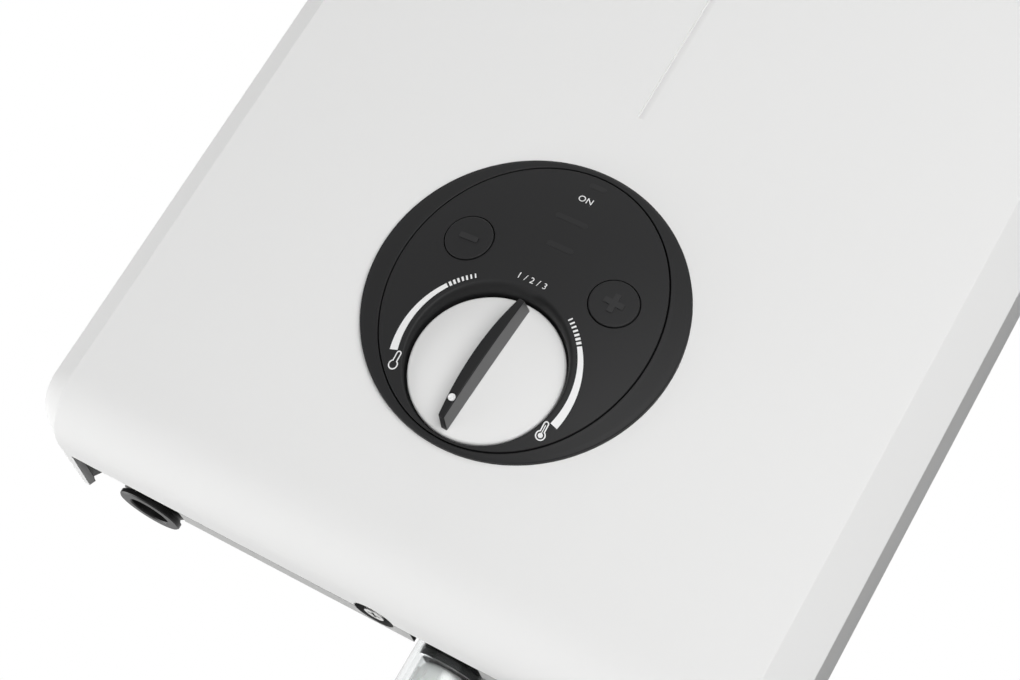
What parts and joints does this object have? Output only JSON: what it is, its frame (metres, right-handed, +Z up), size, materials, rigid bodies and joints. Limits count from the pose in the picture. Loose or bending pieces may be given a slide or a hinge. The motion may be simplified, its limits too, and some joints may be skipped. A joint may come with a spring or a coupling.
{
  "type": "wall-hung instant electric water heater",
  "caption": "Wall-hung instant electric water heater: tall white cover with bevelled edges, round dark dial with a turning blade and press buttons, pipe bay underneath.",
  "frame": {"origin": "centre of the four wall holes, on the wall plane", "axes": "+Z up, +Y into the wall (the front faces -Y), +X to the right for someone facing the front"},
  "size_m": [0.24, 0.0915, 0.427],
  "materials": {
    "cover_white": "smooth semi-gloss",
    "plate_grey": "fine matt",
    "panel_dark": "fine satin",
    "bezel_black": "smooth gloss",
    "button_black": "fine satin",
    "disc_white": "satin",
    "blade_black": "satin",
    "print_white": "printed",
    "fitting_black": "moulded",
    "clear": "clear moulded plastic",
    "mesh_grey": "fine woven",
    "rubber_black": "matt",
    "steel": "bright",
    "aluminium": "extruded",
    "copper": "drawn",
    "board_green": "lacquered",
    "inner_grey": "moulded",
    "inner_ivory": "moulded",
    "inner_red": "moulded",
    "tank_glass_fibre": "glass-filled",
    "lead_sleeve": "sleeved"
  },
  "bodies": {
    "casing": {"front_cover": "cover_white", "back_plate": "plate_grey", "cover_seal": "rubber_black", "cover_screw": "steel", "bezel_ring": "bezel_black", "control_panel": "panel_dark", "potentiometer": "inner_grey", "control_board": "board_green", "button_switches": "inner_grey", "light_guides": "clear", "board_screws": "steel", "outlet_spigot": "fitting_black", "inlet_fitting": "fitting_black", "lock_nuts": "fitting_black", "strainer_housing": "clear", "strainer_mesh": "mesh_grey", "strainer_washer": "rubber_black", "pump_body": "inner_grey", "pump_cap": "inner_grey", "pump_motor": "steel", "pump_pipe": "inner_grey", "flow_meter": "inner_grey", "cold_pipe": "copper", "heating_tank": "tank_glass_fibre", "tank_seal": "rubber_black", "tank_lid": "steel", "lid_screws": "steel", "heating_elements": "steel", "tank_straps": "steel", "hot_pipe": "copper", "temperature_probe": "inner_grey", "thermal_cutout": "inner_grey", "power_board": "board_green", "power_screws": "steel", "heat_sink": "aluminium", "terminal_block": "inner_ivory", "terminal_screws": "steel", "cable_grommet": "rubber_black", "supply_leads": "lead_sleeve", "bus_bar": "copper", "return_lead": "inner_red", "control_lead": "inner_grey"},
    "knob": {"knob_disc": "disc_white", "knob_blade": "blade_black", "knob_dot": "print_white", "knob_shaft": "steel"},
    "minus": {"minus_button": "button_black"},
    "plus": {"plus_button": "button_black"},
    "reset": {"reset_button": "inner_red"},
    "impeller": {"impeller": "inner_ivory"},
    "rotor": {"flow_rotor": "inner_ivory"}
  },
  "joints": [
    {"name": "knob_turn", "type": "hinge", "parent": "casing", "child": "knob", "pos_m": [0, -0.078, -0.1233], "axis": [0, 1, 0], "range_deg": [-3.5, 281.5]},
    {"name": "minus_press", "type": "slide", "parent": "casing", "child": "minus", "axis": [0, 1, 0], "range_m": [0, 0.001], "stiffness_N_per_m": 300, "springref_m": -0.001},
    {"name": "plus_press", "type": "slide", "parent": "casing", "child": "plus", "axis": [0, 1, 0], "range_m": [0, 0.001], "stiffness_N_per_m": 300, "springref_m": -0.001},
    {"name": "reset_press", "type": "slide", "parent": "casing", "child": "reset", "axis": [0, 1, 0], "range_m": [0, 0.0012], "stiffness_N_per_m": 300, "springref_m": -0.001},
    {"name": "impeller_spin", "type": "hinge", "parent": "casing", "child": "impeller", "pos_m": [0.0215, -0.0325, -0.14], "axis": [0, 0, 1], "continuous": true},
    {"name": "flow_spin", "type": "hinge", "parent": "casing", "child": "rotor", "pos_m": [0.086, -0.0325, -0.09], "axis": [0, 0, 1], "continuous": true}
  ]
}
